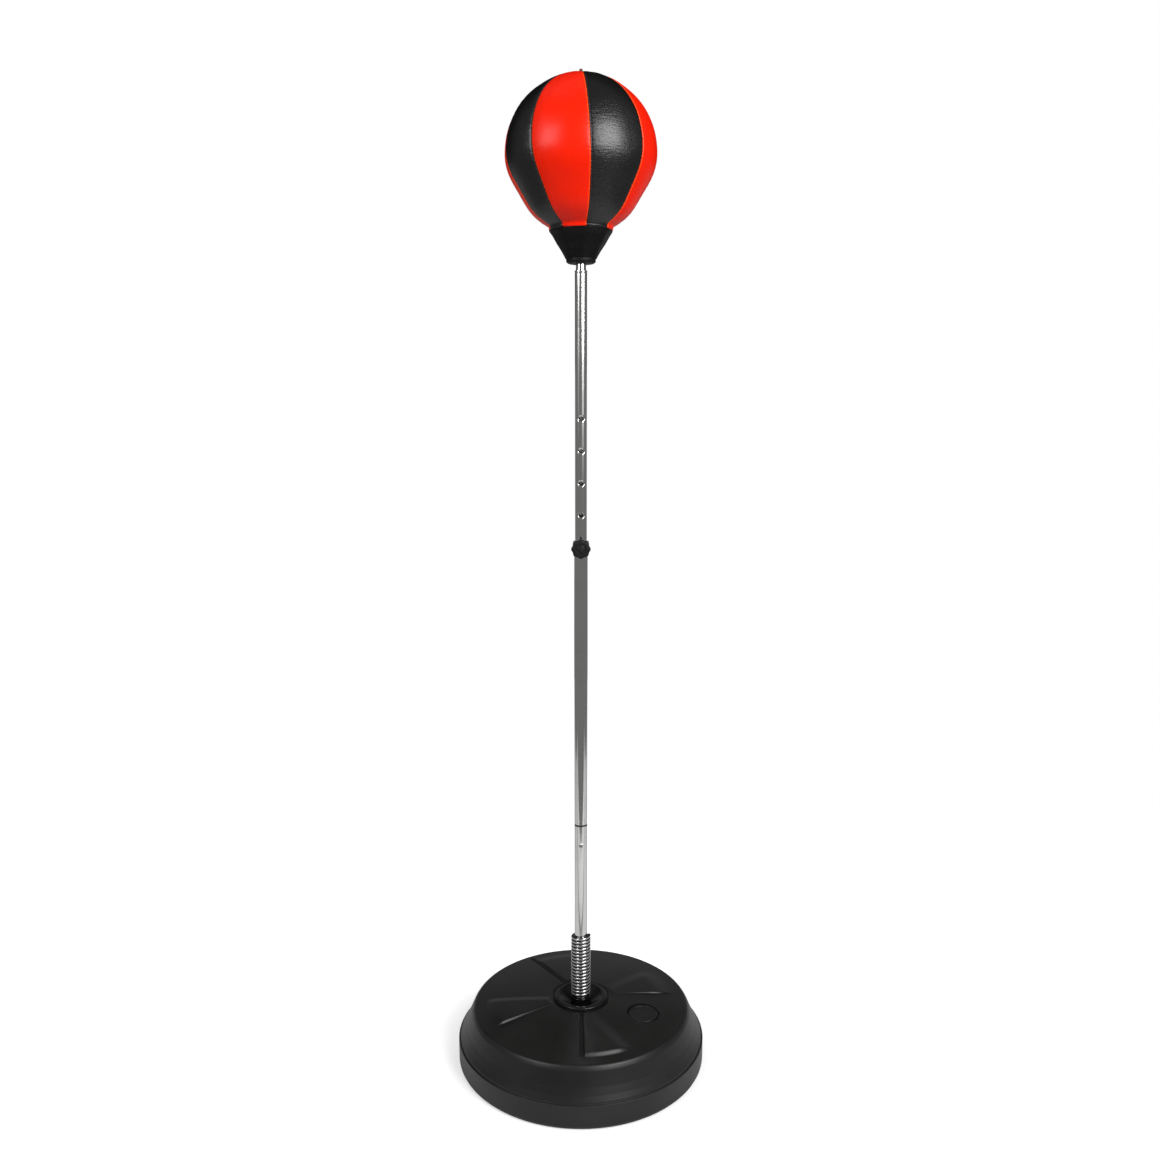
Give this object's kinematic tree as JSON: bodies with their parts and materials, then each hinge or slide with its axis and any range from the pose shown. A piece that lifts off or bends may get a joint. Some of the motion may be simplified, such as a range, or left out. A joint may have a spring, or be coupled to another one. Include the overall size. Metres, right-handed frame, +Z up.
{
  "type": "free-standing speed bag",
  "caption": "Free-standing reflex speed bag: fillable round base, coil spring, telescopic pole with screw lock, and an inflated panelled ball in a conical skirt.",
  "frame": {"origin": "centre of the base's foot, on the floor", "axes": "+Z up along the pole; -Y is the front, which the lock knob faces; +X to the right seen from the front"},
  "size_m": [0.42, 0.42, 1.6107],
  "materials": {
    "base": "satin moulded black",
    "gloss_black": "gloss black enamel",
    "plug": "gloss",
    "knob": "matt moulded black",
    "chrome": "polished",
    "steel": "zinc plated",
    "rubber": "matt",
    "bladder": "smooth latex",
    "red_leather": "glossy red hide",
    "black_leather": "glossy black hide",
    "tab_leather": "dark brown hide"
  },
  "bodies": {
    "base": {"base_shell": "base", "socket_sleeve": "gloss_black", "spring_plug": "steel", "base_bolt": "steel", "base_washer": "steel"},
    "fill_plug": {"fill_plug": "plug", "fill_seal": "rubber"},
    "spring": {"coil_spring": "chrome"},
    "pole": {"lower_tube": "chrome", "tube_joiner": "steel", "joiner_rivet": "steel", "middle_tube": "chrome", "collar": "chrome", "collar_nut": "steel"},
    "feed": {"feed_washer": "steel"},
    "knob": {"lock_screw": "steel", "star_knob": "knob", "knob_cap": "plug"},
    "upper": {"top_tube": "chrome", "end_bush": "rubber", "rim_disc": "gloss_black", "ball_seat": "knob", "seat_washer": "steel", "seat_nut": "steel", "skirt": "black_leather", "bladder": "bladder", "bladder_valve": "rubber", "panel_red_1": "red_leather", "panel_black_1": "black_leather", "panel_red_2": "red_leather", "panel_black_2": "black_leather", "panel_red_3": "red_leather", "panel_black_3": "black_leather", "panel_red_4": "red_leather", "panel_black_4": "black_leather", "crown_button": "red_leather", "crown_tab": "tab_leather"}
  },
  "joints": [
    {"name": "sway_fore_aft", "type": "hinge", "parent": "base", "child": "spring", "pos_m": [0, 0, 0.144], "axis": [1, 0, 0], "range_deg": [-30, 30], "stiffness_Nm_per_rad": 45, "deforming": ["coil_spring"]},
    {"name": "sway_side", "type": "hinge", "parent": "spring", "child": "pole", "pos_m": [0, 0, 0.186], "axis": [0, 1, 0], "range_deg": [-30, 30], "stiffness_Nm_per_rad": 45, "deforming": ["coil_spring"]},
    {"name": "height_adjust", "type": "slide", "parent": "pole", "child": "upper", "axis": [0, 0, 1], "range_m": [-0.204, 0.051]},
    {"name": "knob_feed", "type": "slide", "parent": "pole", "child": "feed", "axis": [0, 1, 0], "range_m": [-0.0025, 0.005]},
    {"name": "knob_turn", "type": "hinge", "parent": "feed", "child": "knob", "pos_m": [0, -0.03, 0.886], "axis": [0, 1, 0], "range_deg": [-720, 1440]},
    {"name": "plug_pull", "type": "slide", "parent": "base", "child": "fill_plug", "axis": [0, 0, 1], "range_m": [0, 0.03]}
  ],
  "couplings": [
    {"joint": "knob_turn", "follows": "knob_feed", "rad_per_m": 5026.5}
  ]
}
